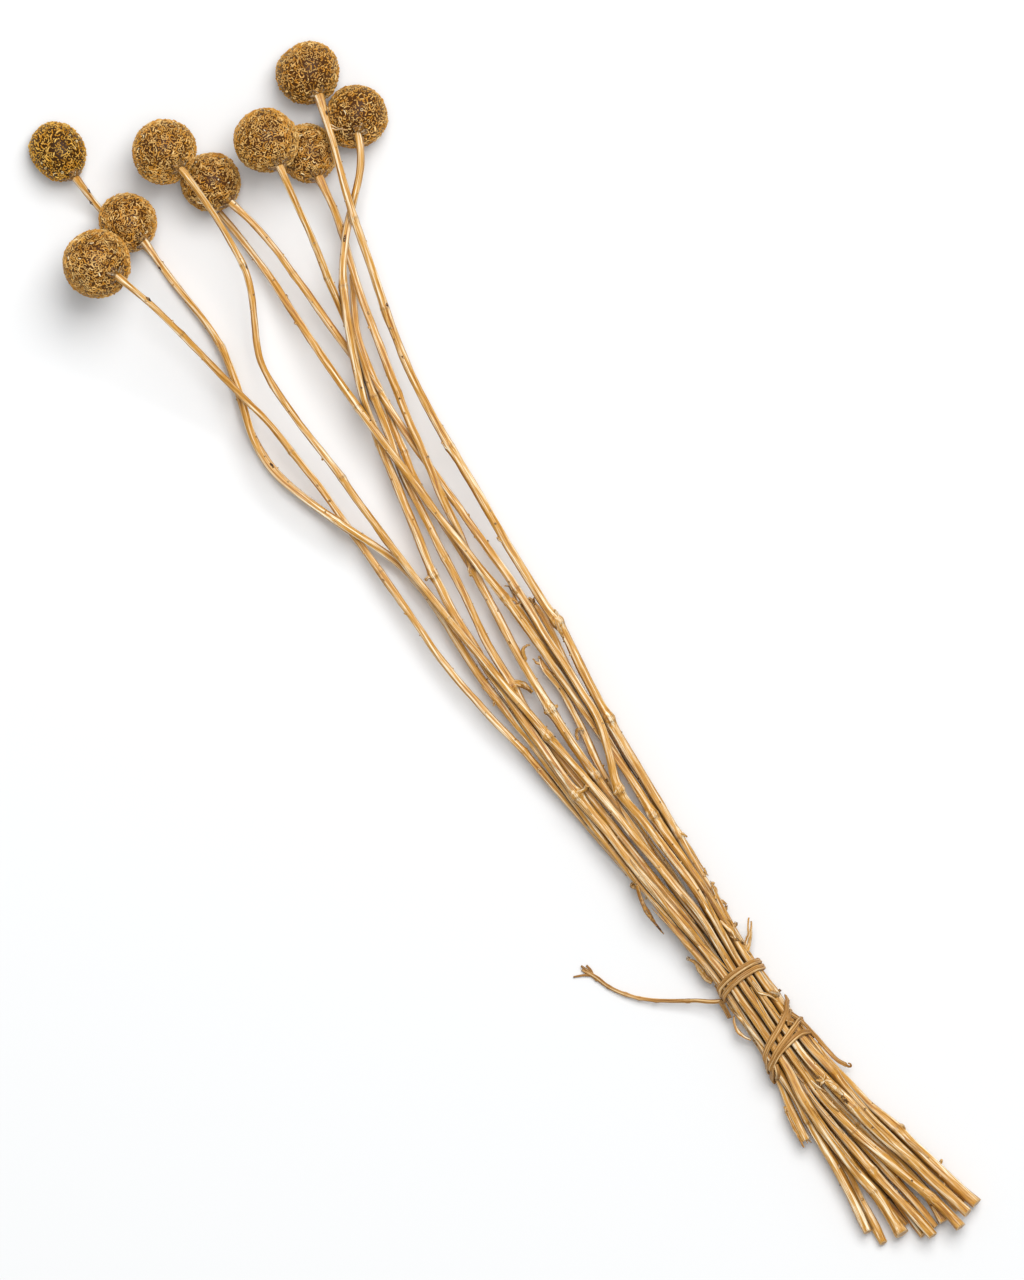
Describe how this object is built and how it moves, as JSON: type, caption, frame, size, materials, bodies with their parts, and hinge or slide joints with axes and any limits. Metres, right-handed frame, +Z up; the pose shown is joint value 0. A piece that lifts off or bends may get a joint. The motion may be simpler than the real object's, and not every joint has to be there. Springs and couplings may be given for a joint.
{
  "type": "dried craspedia bunch",
  "caption": "A dried billy button bunch lying down: globe flower heads on long straw stems, some stems bare, bound with split stalk.",
  "frame": {"origin": "on the surface that the bunch lies on, under the middle of its bounding box", "axes": "+Y from the cut ends of the stems to the heads, +X across the bunch, +Z up from the surface"},
  "size_m": [0.1376, 0.5424, 0.0426],
  "materials": {
    "dried_floret": "dry, matt, ochre brown florets",
    "dark_dried_floret": "dry, matt, darker greenish brown florets",
    "dried_stem": "dry straw with a faint satin sheen and long fibres",
    "split_stalk": "dry split stalk, brown straw, fibrous"
  },
  "bodies": {
    "root": {"head_1": "dark_dried_floret", "head_2": "dried_floret", "head_3": "dried_floret", "head_4": "dried_floret", "head_5": "dried_floret", "head_6": "dried_floret", "head_7": "dried_floret", "head_8": "dried_floret", "head_9": "dried_floret", "stem_1": "dried_stem", "stem_2": "dried_stem", "stem_3": "dried_stem", "stem_4": "dried_stem", "stem_5": "dried_stem", "stem_6": "dried_stem", "stem_7": "dried_stem", "stem_8": "dried_stem", "stem_9": "dried_stem", "bare_stem_1": "dried_stem", "bare_stem_2": "dried_stem", "bare_stem_3": "dried_stem", "bare_stem_4": "dried_stem", "bare_stem_5": "dried_stem", "tie_1": "split_stalk", "tie_2": "split_stalk"}
  },
  "joints": []
}
